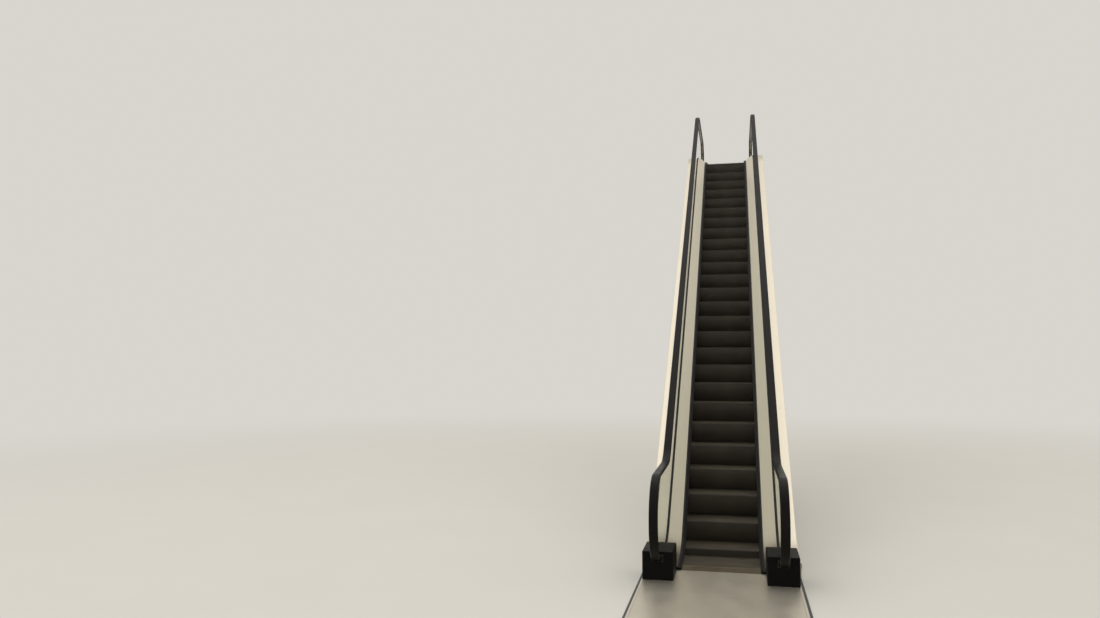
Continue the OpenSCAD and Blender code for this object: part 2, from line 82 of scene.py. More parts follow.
# Sizes across a balustrade
SKIRT_X = STEP_W / 2 + 4 * MM
SKIRT_T = 6 * MM
GLASS_X = SKIRT_X + 0.136
GLASS_T = 10 * MM
GLASS_PLAY = 0.2 * MM
RAIL_X = GLASS_X + 5 * MM
CHANNEL_X0 = RAIL_X - 18 * MM
CHANNEL_X1 = RAIL_X + 18 * MM
OUTER_X = RAIL_X + 0.178
DECK_FOOT = 40 * MM
DECK_TOP = 130 * MM
DECK_FALL = 6 * MM
DECK_LIP = 56 * MM
SHEET_T = 4 * MM
SHEET_L = 2.4
SHEET_JOINT = 1.6 * MM
GASKET_FOOT = 36 * MM
GASKET_SEAT = DECK_TOP - 56 * MM
DECK_SLOPE = math.atan2(DECK_TOP - DECK_FOOT, CHANNEL_X0 - SKIRT_X)
BRUSH_N = 22 * MM
BRUSH_REACH = 42 * MM
HOLDER_W = 14 * MM
HOLDER_T = 12 * MM
HOLDER_EDGE = 3 * MM

# Sizes of the handrails and their boxes
RAIL_LOW = PLATE_Z + 0.94
RAIL_H_FLIGHT = 0.92
RAIL_W = 80 * MM
RAIL_T = 32 * MM
RAIL_EDGE = 15.5 * MM
RAIL_LIP_EDGE = 2 * MM
RAIL_LOWER_R = 0.6
RAIL_UPPER_R = 0.9
NEWEL_R = 0.385
NEWEL_Y = 0.67
RAIL_TAIL = 60 * MM
GUIDE_DROP = RAIL_T + 18 * MM
GUIDE_TOP = -11.3 * MM
GUIDE_SHOULDER = -31.7 * MM
GUIDE_NECK = -34 * MM
BOX_H = 0.25
BOX_X0 = SKIRT_X + 1 * MM
BOX_W = 0.278
BOX_EDGE = 14 * MM
BOX_TOP_EDGE = 10 * MM
MOUTH_LOW = RAIL_LOW - 2 * NEWEL_R - 12 * MM
MOUTH_TOP = MOUTH_LOW + GUIDE_DROP + 20 * MM
MOUTH_X = RAIL_W / 2 + 12 * MM
MOUTH_DEPTH = 70 * MM
LIP_T = 4 * MM
LIP_H = 6 * MM

# Levelling bolts of the upper bearing
BOLT_SPAN = 1.0
BOLT_EDGE = 60 * MM
BOLT_ACROSS = 30 * MM
WASHER_T = 3 * MM
HEAD_TOP = 19 * MM
BOLT_TOP = 29 * MM

# Screws of the upper end plate, whose rows up the sides are shorter than the plate by the cut
END_SCREW_INSET = 40 * MM
END_SCREW_CUT = 0.3
END_SCREW_R = 8 * MM
END_SCREWS_ACROSS = 8
END_SCREWS_UP = 5


# Stations along a run: each is a matrix from a profile's own x and n to the part's frame

def station(y, z, angle):
    """Frame at a point of a run: local X across, local Y out of the run, which slopes by angle."""
    return Matrix(((1, 0, 0, 0), (0, -math.sin(angle), math.cos(angle), y),
                   (0, math.cos(angle), math.sin(angle), z), (0, 0, 0, 1)))


def lower_centre(corner, z, r):
    return corner - r * math.tan(INCLINE / 2), z + r


def upper_centre(corner, z, r):
    return corner + RISE / math.tan(INCLINE) + r * math.tan(INCLINE / 2), z + RISE - r


def lower_bend(corner, z, r):
    y, z = lower_centre(corner, z, r)
    turns = [INCLINE * i / BEND_STEPS for i in range(BEND_STEPS + 1)]
    return [station(y + r * math.sin(a), z - r * math.cos(a), a) for a in turns]


def upper_bend(corner, z, r):
    y, z = upper_centre(corner, z, r)
    turns = [INCLINE * (1 - i / BEND_STEPS) for i in range(BEND_STEPS + 1)]
    return [station(y - r * math.sin(a), z + r * math.cos(a), a) for a in turns]


def nose_run(start, end):
    """Stations of the nose line from one landing to the other."""
    return ([station(start, TREAD_Z, 0)] + lower_bend(LOWER_RUN, TREAD_Z, LOWER_R)
            + upper_bend(LOWER_RUN, TREAD_Z, UPPER_R) + [station(end, TREAD_Z + RISE, 0)])


def deck_lengths(start, end, joint):
    """The nose line's stations, cut into the lengths in which sheet is made, with open joints."""
    low = [station(start, TREAD_Z, 0)] + lower_bend(LOWER_RUN, TREAD_Z, LOWER_R)
    high = upper_bend(LOWER_RUN, TREAD_Z, UPPER_R) + [station(end, TREAD_Z + RISE, 0)]
    foot, head = low[-1].translation, high[0].translation
    along = (head - foot).normalized()
    half = along * joint / 2

    def on_flight(share):
        return Matrix.Translation(foot.lerp(head, share)) @ low[-1].to_3x3().to_4x4()

    pieces = math.ceil((head - foot).length / SHEET_L)
    runs = [low]
    for i in range(pieces):
        runs.append([Matrix.Translation(half) @ on_flight(i / pieces),
                     Matrix.Translation(-half) @ on_flight((i + 1) / pieces)])
    return runs + [high]


def rail_run():
    """Stations of a handrail from its lower box round both newels to its upper box."""
    corner = LOWER_RUN + (RAIL_LOW - TREAD_Z - RAIL_H_FLIGHT) / math.tan(INCLINE)
    a = (-NEWEL_Y, RAIL_LOW - NEWEL_R)
    b = (UPPER_COMB + NEWEL_Y, RAIL_LOW + RISE - NEWEL_R)
    run = [station(a[0] + RAIL_TAIL, a[1] - NEWEL_R, math.pi)]
    for i in range(NEWEL_STEPS + 1):
        t = math.pi * (1 - i / NEWEL_STEPS)
        run.append(station(a[0] - NEWEL_R * math.sin(t), a[1] + NEWEL_R * math.cos(t), t))
    run += lower_bend(corner, RAIL_LOW, RAIL_LOWER_R)
    run += upper_bend(corner, RAIL_LOW, RAIL_UPPER_R)
    for i in range(NEWEL_STEPS + 1):
        t = -math.pi * i / NEWEL_STEPS
        run.append(station(b[0] - NEWEL_R * math.sin(t), b[1] + NEWEL_R * math.cos(t), t))
    run.append(station(b[0] - RAIL_TAIL, b[1] - NEWEL_R, -math.pi))
    return run


# Making of shapes

def ring(bm, points, bevels=(), segments=3):
    """A closed outline in X and Y, with the named corners rounded off by their radius."""
    verts = [bm.verts.new((x, y, 0)) for x, y in points]
    for a, b in zip(verts, verts[1:] + verts[:1]):
        bm.edges.new((a, b))
    for corner, radius in bevels:
        bmesh.ops.bevel(bm, geom=[verts[corner]], offset=radius, offset_type="OFFSET", segments=segments,
                        profile=0.5, affect="VERTICES", material=-1)
    return bm.edges[:]


def sweep(bm, edges, run):
    """Carries an outline along a run and closes both of its ends."""
    verts = list({v for e in edges for v in e.verts})
    bmesh.ops.transform(bm, matrix=run[0], verts=verts)
    caps = [edges]
    for here, there in zip(run, run[1:]):
        made = bmesh.ops.extrude_edge_only(bm, edges=edges)["geom"]
        edges = [g for g in made if isinstance(g, bmesh.types.BMEdge)]
        verts = [g for g in made if isinstance(g, bmesh.types.BMVert)]
        bmesh.ops.transform(bm, matrix=there @ here.inverted(), verts=verts)
    caps.append(edges)
    for cap in caps:
        bmesh.ops.edgenet_fill(bm, edges=cap)
    bmesh.ops.recalc_face_normals(bm, faces=bm.faces[:])


def swept(points, runs, bevels=(), segments=3):
    """One mesh of an outline that is carried along each of the runs."""
    whole = bmesh.new()
    for run in runs:
        bm = bmesh.new()
        sweep(bm, ring(bm, points, bevels, segments), run)
        join(whole, bm)
    return whole


def join(whole, part, matrix=None):
    """Adds a copy of a part to the whole, moved by a matrix if one is given."""
    mesh = bpy.data.meshes.new("part")
    if matrix is not None:
        bmesh.ops.transform(part, matrix=matrix, verts=part.verts[:])
    part.to_mesh(mesh)
    part.free()
    whole.from_mesh(mesh)
    bpy.data.meshes.remove(mesh)


def block(lo, hi, edge=0.0, segments=2):
    """A block between two corners with its edges rounded off."""
    bm = bmesh.new()
    bmesh.ops.create_cube(bm, size=1)
    size = [b - a for a, b in zip(lo, hi)]
    middle = [(a + b) / 2 for a, b in zip(lo, hi)]
    bmesh.ops.scale(bm, vec=size, verts=bm.verts[:])
    bmesh.ops.translate(bm, vec=middle, verts=bm.verts[:])
    if edge:
        bmesh.ops.bevel(bm, geom=bm.edges[:], offset=edge, offset_type="OFFSET", segments=segments,
                        profile=0.5, affect="EDGES", material=-1, clamp_overlap=True)
    return bm


def mirrored(bm):
    """Turns a right-hand shape into the left-hand one."""
    bmesh.ops.scale(bm, vec=(-1, 1, 1), verts=bm.verts[:])
    bmesh.ops.reverse_faces(bm, faces=bm.faces[:])
    return bm


def piece(bm, name, finishes, replaced=(), smooth_angle=35):
    """Makes an object of a mesh, gives it its finishes and lets it ride on the part's one body."""
    mesh = bpy.data.meshes.new(name)
    bm.to_mesh(mesh)
    bm.free()
    for finish in finishes:
        mesh.materials.append(finish)
    mesh.shade_smooth()
    mesh.set_sharp_from_angle(angle=math.radians(smooth_angle))
    obj = bpy.data.objects.new(name, mesh)
    bpy.context.scene.collection.objects.link(obj)
    even = obj.modifiers.new("even_shading", "WEIGHTED_NORMAL")
    even.keep_sharp = True
    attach(obj, "root")
    if replaced:
        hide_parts(*replaced)
    return obj


def both_sides(make, name, finishes, replaced=None, smooth_angle=35):
    """Makes a balustrade's piece on the right and its mirror image on the left."""
    for side in ("right", "left"):
        bm = make() if side == "right" else mirrored(make())
        gone = [f"{n}_{side}" for n in replaced or ()]
        piece(bm, f"{name}_{side}", finishes, gone, smooth_angle)


# Making of finishes

def linear(code):
    """Linear colour of an sRGB hex value."""
    parts = [int(code[i:i + 2], 16) / 255 for i in (1, 3, 5)]
    return [c / 12.92 if c <= 0.04045 else ((c + 0.055) / 1.055) ** 2.4 for c in parts] + [1.0]


def add(tree, kind, inputs=None, **settings):
    """Adds a node with its settings, and its inputs as values or as sockets to link."""
    node = tree.nodes.new(kind)
    for key, value in settings.items():
        setattr(node, key, value)
    for key, value in (inputs or {}).items():
        if isinstance(value, bpy.types.NodeSocket):
            tree.links.new(value, node.inputs[key])
        else:
            node.inputs[key].default_value = value
    return node


def finish(name, roughness, metallic=0.0, **sockets):
    """A new material: its node tree, its shader and Object coordinates."""
    material = bpy.data.materials.new(name)
    material.use_nodes = True
    tree = material.node_tree
    tree.nodes.clear()
    shader = add(tree, "ShaderNodeBsdfPrincipled", {"Roughness": roughness, "Metallic": metallic, **sockets})
    out = add(tree, "ShaderNodeOutputMaterial", {"Surface": shader.outputs["BSDF"]})
    out.location = (300, 0)
    where = add(tree, "ShaderNodeTexCoord")
    return material, tree, shader, where.outputs["Object"]


def grain(tree, where, size, stretch=(1, 1, 1), detail=3.0, roughness=0.5):
    """Noise whose blotches are about size long, stretched by the given factors along X, Y and Z."""
    mapping = add(tree, "ShaderNodeMapping", {"Vector": where, "Scale": [1 / (size * s) for s in stretch]})
    noise = add(tree, "ShaderNodeTexNoise", {"Vector": mapping.outputs["Vector"], "Scale": 1.0,
                                              "Detail": detail, "Roughness": roughness})
    return noise.outputs["Fac"]


def blend(tree, fac, low, high, a, b):
    """Ramp from colour a below the share low of a texture to colour b above the share high."""
    ramp = add(tree, "ShaderNodeValToRGB", {"Fac": fac})
    ramp.color_ramp.elements[0].position = low
    ramp.color_ramp.elements[0].color = linear(a)
    ramp.color_ramp.elements[1].position = high
    ramp.color_ramp.elements[1].color = linear(b)
    return ramp.outputs["Color"]


def spread(tree, fac, low, high):
    """A texture's value spread over a range of roughness."""
    node = add(tree, "ShaderNodeMapRange", {"Value": fac, "To Min": low, "To Max": high})
    return node.outputs["Result"]


def relief(tree, fac, depth, strength=1.0):
    """Bump of a real depth in metres."""
    bump = add(tree, "ShaderNodeBump", {"Height": fac, "Distance": depth, "Strength": strength})
    return bump.outputs["Normal"]


def hairline_stainless():
    # 304 stainless sheet, ground with a 180 grit belt along its length: fine parallel lines that
    # stretch every reflection across the sheet, with faint smears where hands have wiped it.
    # The real lines are 0.1 mm apart and are drawn 0.6 mm apart so that they show.
    material, tree, shader, where = finish("hairline_stainless_steel", 0.28, 1.0)
    lines = grain(tree, where, 0.6 * MM, (1, 900, 900), 2.0)
    smear = grain(tree, where, 0.5, (0.4, 1.6, 1.6), 1.0)
    tree.links.new(blend(tree, lines, 0.2, 0.8, "#d8cfbd", "#e3dac8"), shader.inputs["Base Color"])
    tree.links.new(spread(tree, smear, 0.29, 0.37), shader.inputs["Roughness"])
    tree.links.new(relief(tree, lines, 0.005 * MM, 0.3), shader.inputs["Normal"])
    return material


def etched_floor_plate():
    # Stainless floor plates, etched and then worn smooth by shoes: pale and satin, a little cloudy,
    # with scuffs that run the way people walk.
    material, tree, shader, where = finish("etched_stainless_floor_plate", 0.42, 0.85)
    cloud = grain(tree, where, 0.22, (1, 1.6, 1), 3.0)
    scuff = grain(tree, where, 2 * MM, (1, 60, 1), 2.0)
    tree.links.new(blend(tree, cloud, 0.25, 0.75, "#d2cbbb", "#dcd5c6"), shader.inputs["Base Color"])
    mixed = add(tree, "ShaderNodeMath", {0: cloud, 1: scuff}, operation="MULTIPLY").outputs["Value"]
    tree.links.new(spread(tree, mixed, 0.36, 0.52), shader.inputs["Roughness"])
    tree.links.new(relief(tree, scuff, 0.03 * MM, 0.3), shader.inputs["Normal"])
    return material


def charcoal_step():
    # Die cast aluminium step, sprayed with charcoal paint: a dull, slightly pebbled coat.
    material, tree, shader, where = finish("charcoal_painted_die_cast_aluminium", 0.5)
    pebble = grain(tree, where, 1.5 * MM, (1, 1, 1), 2.0)
    dust = grain(tree, where, 0.22, (1, 1, 1), 4.0)
    tree.links.new(blend(tree, dust, 0.35, 0.75, "#4c473f", "#5d564c"), shader.inputs["Base Color"])
    tree.links.new(spread(tree, dust, 0.42, 0.62), shader.inputs["Roughness"])
    tree.links.new(relief(tree, pebble, 0.1 * MM, 0.5), shader.inputs["Normal"])
    return material


def worn_cleats():
    # Tops of the treads' cleats, where shoes have rubbed the paint thin and the cast metal shows.
    material, tree, shader, where = finish("worn_charcoal_cleat_tops", 0.42, 0.3)
    wear = grain(tree, where, 0.12, (2, 1, 1), 4.0)
    tree.links.new(blend(tree, wear, 0.3, 0.72, "#675f51", "#998d76"), shader.inputs["Base Color"])
    tree.links.new(spread(tree, wear, 0.5, 0.34), shader.inputs["Roughness"])
    return material


def comb_aluminium():
    # Cast aluminium comb segments and their carrier, anodised brown grey: matt with a soft sheen.
    material, tree, shader, where = finish("brown_grey_anodised_cast_aluminium", 0.45, 0.55)
    cast = grain(tree, where, 1.2 * MM, (1, 1, 1), 2.0)
    tone = grain(tree, where, 0.14, (1, 1, 1), 3.0)
    tree.links.new(blend(tree, tone, 0.3, 0.7, "#665c48", "#786d57"), shader.inputs["Base Color"])
    tree.links.new(spread(tree, tone, 0.38, 0.52), shader.inputs["Roughness"])
    tree.links.new(relief(tree, cast, 0.06 * MM, 0.5), shader.inputs["Normal"])
    return material


def black_skirt():
    # Steel skirt panel with a black low friction coating: satin, with faint rub marks along it.
    material, tree, shader, where = finish("black_low_friction_coating", 0.42, **{"Specular IOR Level": 0.2})
    rub = grain(tree, where, 8 * MM, (1, 40, 1), 3.0)
    tree.links.new(blend(tree, rub, 0.4, 0.8, "#0c0b0b", "#1a1817"), shader.inputs["Base Color"])
    tree.links.new(spread(tree, rub, 0.26, 0.44), shader.inputs["Roughness"])
    return material


def grey_strip():
    # Extruded aluminium edge of the brush holder, anodised a dark natural grey.
    material, tree, shader, where = finish("grey_anodised_aluminium_edge", 0.4, 0.8)
    lines = grain(tree, where, 1 * MM, (1, 300, 1), 2.0)
    tree.links.new(blend(tree, lines, 0.3, 0.7, "#3a3634", "#4a4542"), shader.inputs["Base Color"])
    tree.links.new(spread(tree, lines, 0.34, 0.48), shader.inputs["Roughness"])
    return material


def tempered_glass():
    # Clear toughened float glass, ground and polished at its edges: colourless through the pane.
    material, tree, shader, where = finish("clear_toughened_glass", 0.0, 0.0, **{
        "IOR": 1.5, "Transmission Weight": 1.0, "Base Color": linear("#f4faf7")})
    film = grain(tree, where, 0.3, (1, 1, 1), 3.0)
    tree.links.new(spread(tree, film, 0.0, 0.03), shader.inputs["Roughness"])
    return material


def handrail_rubber():
    # Black rubber handrail, moulded and polished by hands: smooth, with a broad soft highlight.
    material, tree, shader, where = finish("black_polished_handrail_rubber", 0.44,
                                           **{"Specular IOR Level": 0.09})
    wear = grain(tree, where, 0.18, (1, 1, 1), 4.0)
    skin = grain(tree, where, 0.9 * MM, (1, 1, 1), 2.0)
    tree.links.new(blend(tree, wear, 0.3, 0.75, "#0d0c0b", "#161413"), shader.inputs["Base Color"])
    tree.links.new(spread(tree, wear, 0.3, 0.46), shader.inputs["Roughness"])
    tree.links.new(relief(tree, skin, 0.02 * MM, 0.4), shader.inputs["Normal"])
    return material


def satin_guide():
    # Roll formed stainless guide rail with a satin mill finish.
    material, tree, shader, where = finish("satin_stainless_guide_rail", 0.36, 1.0)
    mill = grain(tree, where, 0.8 * MM, (1, 400, 400), 2.0)
    tree.links.new(blend(tree, mill, 0.3, 0.7, "#8f8b83", "#a5a198"), shader.inputs["Base Color"])
    tree.links.new(spread(tree, mill, 0.3, 0.44), shader.inputs["Roughness"])
    return material


def moulded_plastic():
    # Black polyurethane handrail box, moulded with a fine spark eroded grain.
    material, tree, shader, where = finish("black_moulded_polyurethane", 0.5, **{"Specular IOR Level": 0.1})
    spark = grain(tree, where, 1.1 * MM, (1, 1, 1), 2.0)
    dust = grain(tree, where, 0.09, (1, 1, 1), 3.0)
    tree.links.new(blend(tree, dust, 0.35, 0.8, "#050505", "#0c0b0b"), shader.inputs["Base Color"])
    tree.links.new(spread(tree, dust, 0.42, 0.58), shader.inputs["Roughness"])
    tree.links.new(relief(tree, spark, 0.06 * MM, 0.6), shader.inputs["Normal"])
    return material


def nylon_bristles():
    # Black nylon bristles that stand close together, each a line across the skirt.
    material, tree, shader, where = finish("black_nylon_bristles", 0.6, **{"Specular IOR Level": 0.15})
    rows = grain(tree, where, 1 * MM, (40, 1, 40), 2.0)
    tree.links.new(blend(tree, rows, 0.3, 0.7, "#0b0a0a", "#1a1817"), shader.inputs["Base Color"])
    tree.links.new(relief(tree, rows, 0.3 * MM, 0.5), shader.inputs["Normal"])
    return material


def gasket_rubber(name="black_epdm_gasket"):
    # Extruded EPDM rubber, dull and dark, that greys a little where it catches dust.
    material, tree, shader, where = finish(name, 0.7)
    dust = grain(tree, where, 25 * MM, (1, 1, 1), 3.0)
    tree.links.new(blend(tree, dust, 0.35, 0.75, "#1d1c1a", "#322f2b"), shader.inputs["Base Color"])
    tree.links.new(spread(tree, dust, 0.6, 0.8), shader.inputs["Roughness"])
    return material


def coated_cladding():
    # Zinc coated sheet with a satin pale grey powder coat: the faint orange peel of such a coat.
    material, tree, shader, where = finish("pale_grey_powder_coated_sheet", 0.4)
    peel = grain(tree, where, 4 * MM, (1, 1, 1), 1.0)
    tone = grain(tree, where, 0.8, (1, 1, 1), 2.0)
    tree.links.new(blend(tree, tone, 0.3, 0.7, "#b7b3ab", "#c0bcb4"), shader.inputs["Base Color"])
    tree.links.new(spread(tree, tone, 0.36, 0.46), shader.inputs["Roughness"])
    tree.links.new(relief(tree, peel, 0.05 * MM, 0.3), shader.inputs["Normal"])
    return material


def painted_steel():
    # Rolled steel of the truss under a dark grey primer, matt and a little rough from the mill.
    material, tree, shader, where = finish("dark_grey_primed_steel", 0.6)
    scale = grain(tree, where, 3 * MM, (1, 1, 1), 3.0)
    tone = grain(tree, where, 0.3, (1, 1, 1), 3.0)
    tree.links.new(blend(tree, tone, 0.3, 0.7, "#3b3b3d", "#4a4a4b"), shader.inputs["Base Color"])
    tree.links.new(spread(tree, tone, 0.52, 0.7), shader.inputs["Roughness"])
    tree.links.new(relief(tree, scale, 0.08 * MM, 0.5), shader.inputs["Normal"])
    return material


def screw_steel():
    # Turned stainless screws and bolts, brighter than the sheet around them.
    material, tree, shader, where = finish("turned_stainless_screw", 0.3, 1.0)
    turned = grain(tree, where, 1 * MM, (1, 1, 1), 1.0)
    tree.links.new(blend(tree, turned, 0.3, 0.7, "#98948c", "#b4b0a8"), shader.inputs["Base Color"])
    tree.links.new(spread(tree, turned, 0.24, 0.38), shader.inputs["Roughness"])
    return material


def seen_directly(tree):
    """1 for the rays that show the backdrop, straight or in metal and glass, and 0 for those that light."""
    path = add(tree, "ShaderNodeLightPath").outputs
    mirrored = add(tree, "ShaderNodeMath", {0: path["Is Glossy Ray"], 1: path["Is Transmission Ray"]},
                   operation="MAXIMUM").outputs["Value"]
    direct = add(tree, "ShaderNodeMath", {0: path["Is Camera Ray"], 1: mirrored}, operation="MAXIMUM")
    return direct.outputs["Value"]


def pale_floor():
    # Plain studio floor of pale matt resin that runs out into the backdrop.
    material, tree, shader, where = finish("pale_studio_floor", 0.6)
    tone = grain(tree, where, 1.4, (1, 1, 1), 2.0)
    tree.links.new(blend(tree, tone, 0.2, 0.8, "#dbd8d1", "#dedbd4"), shader.inputs["Base Color"])
    tree.links.new(spread(tree, tone, 0.58, 0.62), shader.inputs["Roughness"])
    centred = add(tree, "ShaderNodeVectorMath", {0: where, 1: (0, UPPER_COMB / 2, 0)}, operation="DISTANCE")
    far = add(tree, "ShaderNodeMapRange", {"Value": centred.outputs["Value"],
                                           "From Min": FADE_START, "From Max": FADE_END},
              interpolation_type="SMOOTHERSTEP").outputs["Result"]
    share = add(tree, "ShaderNodeMath", {0: far, 1: seen_directly(tree)}, operation="MULTIPLY")
    backdrop = add(tree, "ShaderNodeEmission", {"Color": linear(BACKDROP), "Strength": 1.0})
    mixed = add(tree, "ShaderNodeMixShader", {0: share.outputs["Value"], 1: shader.outputs["BSDF"],
                                              2: backdrop.outputs["Emission"]})
    tree.links.new(mixed.outputs["Shader"], tree.nodes["Material Output"].inputs["Surface"])
    return material


# The floor turns into the backdrop between these distances from the middle of the flight
BACKDROP = "#d8d5ce"
FADE_START = 3.0
FADE_END = 22.0

STAINLESS = hairline_stainless()
FLOOR_PLATE = etched_floor_plate()
STEP = charcoal_step()
CLEAT_TOPS = worn_cleats()
COMB = comb_aluminium()
SKIRT = black_skirt()
STRIP = grey_strip()
BRISTLE = nylon_bristles()
GLASS = tempered_glass()
RUBBER = handrail_rubber()
GUIDE = satin_guide()
PLASTIC = moulded_plastic()
GASKET = gasket_rubber()
COLLAR = gasket_rubber("black_rubber_collar")
CLADDING = coated_cladding()
FRAME_STEEL = painted_steel()
SCREW = screw_steel()


# Steps

def cleat_outline():
    """Stations round a step in Y and Z, each with the way that a groove goes into it."""
    stations = [(TREAD_D, 0, 0, -1), (0, 0, 1, -1)]
    arcs = 8
    for i in range(1, arcs + 1):
        a = HEEL * i / arcs
        stations.append((TREAD_D * (1 - math.cos(a)), -TREAD_D * math.sin(a), math.cos(a), math.sin(a)))
    heel = stations[-1]
    return stations + [(heel[0] + HEEL_SHELF, heel[1], 0, 0), (TREAD_D, -STEP_FOOT, 0, 0),
                       (TREAD_D, 0, 0, -1)]


def step_shape():
    """A step with a cleat every 9 mm over its tread and riser, its nose at the origin."""
    bm = bmesh.new()
    columns = [(0, 0), (CLEAT_TOP, 0), (CLEAT_TOP + CLEAT_DRAFT, 1), (CLEAT_PITCH - CLEAT_DRAFT, 1),
               (CLEAT_PITCH, 0)]
    verts = [bm.verts.new((x, 0, 0)) for x, _ in columns]
    edges = [bm.edges.new(pair) for pair in zip(verts, verts[1:])]
    depth = {round(x, 5): d * CLEAT_DEPTH for x, d in columns}
    stations = cleat_outline()
    for i, (y, z, in_y, in_z) in enumerate(stations):
        if i:
            made = bmesh.ops.extrude_edge_only(bm, edges=edges)["geom"]
            edges = [g for g in made if isinstance(g, bmesh.types.BMEdge)]
            verts = [g for g in made if isinstance(g, bmesh.types.BMVert)]
        for v in verts:
            d = depth[round(v.co.x, 5)]
            v.co = (v.co.x, y + d * in_y, z + d * in_z)
    for f in bm.faces:
        f.material_index = int(all(abs(v.co.z) < 1e-6 for v in f.verts))
    geom = bm.verts[:] + bm.edges[:] + bm.faces[:]
    bmesh.ops.spin(bm, geom=geom, cent=(0, 0, 0), axis=(1, 0, 0), dvec=(CLEAT_PITCH, 0, 0), angle=0,
                   steps=CLEATS - 1, use_duplicate=True)
    bmesh.ops.remove_doubles(bm, verts=bm.verts[:], dist=0.01 * MM)
    cut(bm, (STEP_W, 0, 0), (1, 0, 0))
    bmesh.ops.holes_fill(bm, edges=[e for e in bm.edges if e.is_boundary], sides=0)
    bmesh.ops.translate(bm, vec=(-STEP_W / 2, 0, 0), verts=bm.verts[:])
    bmesh.ops.recalc_face_normals(bm, faces=bm.faces[:])
    return bm


def cut(bm, point, outward):
    """Takes off what lies on the outward side of a plane and leaves the cut open."""
    bmesh.ops.bisect_plane(bm, geom=bm.verts[:] + bm.edges[:] + bm.faces[:], dist=1e-6, plane_co=point,
                           plane_no=outward, clear_outer=True)


def cut_closed(bm, point, outward):
    """Takes off what lies on the outward side of a plane and closes the cut."""
    cut(bm, point, outward)
    bmesh.ops.holes_fill(bm, edges=[e for e in bm.edges if e.is_boundary], sides=0)


def nose(s):
    """Point of the nose line at the distance s from the start of the lower bend."""
    lower, upper = LOWER_R * INCLINE, UPPER_R * INCLINE
    flight = RISE / math.sin(INCLINE) - (LOWER_R + UPPER_R) * math.tan(INCLINE / 2)
    low = lower_centre(LOWER_RUN, TREAD_Z, LOWER_R)
    high = upper_centre(LOWER_RUN, TREAD_Z, UPPER_R)
    if s < 0:
        return low[0] + s, TREAD_Z
    if s < lower:
        return low[0] + LOWER_R * math.sin(s / LOWER_R), low[1] - LOWER_R * math.cos(s / LOWER_R)
    s -= lower
    if s < flight:
        return (low[0] + LOWER_R * math.sin(INCLINE) + s * math.cos(INCLINE),
                low[1] - LOWER_R * math.cos(INCLINE) + s * math.sin(INCLINE))
    s -= flight
    if s < upper:
        a = INCLINE - s / UPPER_R
        return high[0] - UPPER_R * math.sin(a), high[1] + UPPER_R * math.cos(a)
    return high[0] + s - upper, TREAD_Z + RISE


FIRST_STEP = -2
STEP_GROUPS = (("steps_lower", 11), ("steps_middle", 11), ("steps_upper", 10))


def make_steps():
    model = bpy.data.meshes.new("step")
    bm = step_shape()
    bm.to_mesh(model)
    bm.free()
    k = FIRST_STEP
    for name, count in STEP_GROUPS:
        whole = bmesh.new()
        for _ in range(count):
            y, z = nose(STEP_PHASE + k * STEP_PITCH)
            bm = bmesh.new()
            bm.from_mesh(model)
            bmesh.ops.translate(bm, vec=(0, y, z), verts=bm.verts[:])
            if y < -COMB_LEN:
                cut_closed(bm, (0, -COMB_LEN + GAP, 0), (0, -1, 0))
            if y + TREAD_D > UPPER_COMB + COMB_LEN:
                cut_closed(bm, (0, UPPER_COMB + COMB_LEN - GAP, 0), (0, 1, 0))
            if z - TREAD_D * math.sin(HEEL) < BASE_T + GAP:
                cut_closed(bm, (0, 0, BASE_T + GAP), (0, 0, -1))
            join(whole, bm)
            k += 1
        piece(whole, f"{name}_cleated", [STEP, CLEAT_TOPS], [name], 30)
    bpy.data.meshes.remove(model)


# Combs: how far a tooth reaches into its segment, and its play in the groove
TOOTH_ROOT = 6 * MM
TOOTH_PLAY = 1.4 * MM
SEGMENTS = 4
SEGMENT_BACK = -0.118
SEGMENT_JOINT = 0.4 * MM
RIBS = 84
RIB_DEPTH = 1.6 * MM
COMB_SCREWS = 8
COMB_SCREW_PITCH = 0.1
COMB_SCREW_Y = -0.075


def comb_tooth():
    """One tooth of a comb, its tip at the origin's Y and its top falling to the tip."""
    bm = bmesh.new()
    root, top = -COMB_LEN - TOOTH_ROOT, PLATE_Z - 0.5 * MM
    outline = [(root, top), (-COMB_LEN, top), (-3 * MM, PLATE_Z - 8 * MM), (0, PLATE_Z - 10 * MM),
               (-1 * MM, PLATE_Z - 12.5 * MM), (root, PLATE_Z - 14 * MM)]
    face = bm.faces.new([bm.verts.new((0, y, z)) for y, z in outline])
    made = bmesh.ops.extrude_face_region(bm, geom=[face])["geom"]
    width = CLEAT_PITCH - CLEAT_TOP - 2 * CLEAT_DRAFT - TOOTH_PLAY
    verts = [g for g in made if isinstance(g, bmesh.types.BMVert)]
    bmesh.ops.translate(bm, vec=(width, 0, 0), verts=verts)
    start = -STEP_W / 2 + CLEAT_TOP + (CLEAT_PITCH - CLEAT_TOP - width) / 2
    bmesh.ops.translate(bm, vec=(start, 0, 0), verts=bm.verts[:])
    bmesh.ops.recalc_face_normals(bm, faces=bm.faces[:])
    return bm


def screw(x, y, z, radius):
    """A countersunk screw's head with a round drive in it, flush with what it holds."""
    bm = bmesh.new()
    bmesh.ops.create_cone(bm, cap_ends=True, segments=20, radius1=radius, radius2=radius * 0.94,
                          depth=0.8 * MM)
    top = max(bm.faces, key=lambda f: f.calc_center_median().z)
    bmesh.ops.inset_individual(bm, faces=[top], thickness=radius * 0.5)
    bmesh.ops.translate(bm, vec=(0, 0, -0.6 * MM), verts=top.verts[:])
    bmesh.ops.transform(bm, matrix=Matrix.Translation((x, y, z)), verts=bm.verts[:])
    return bm


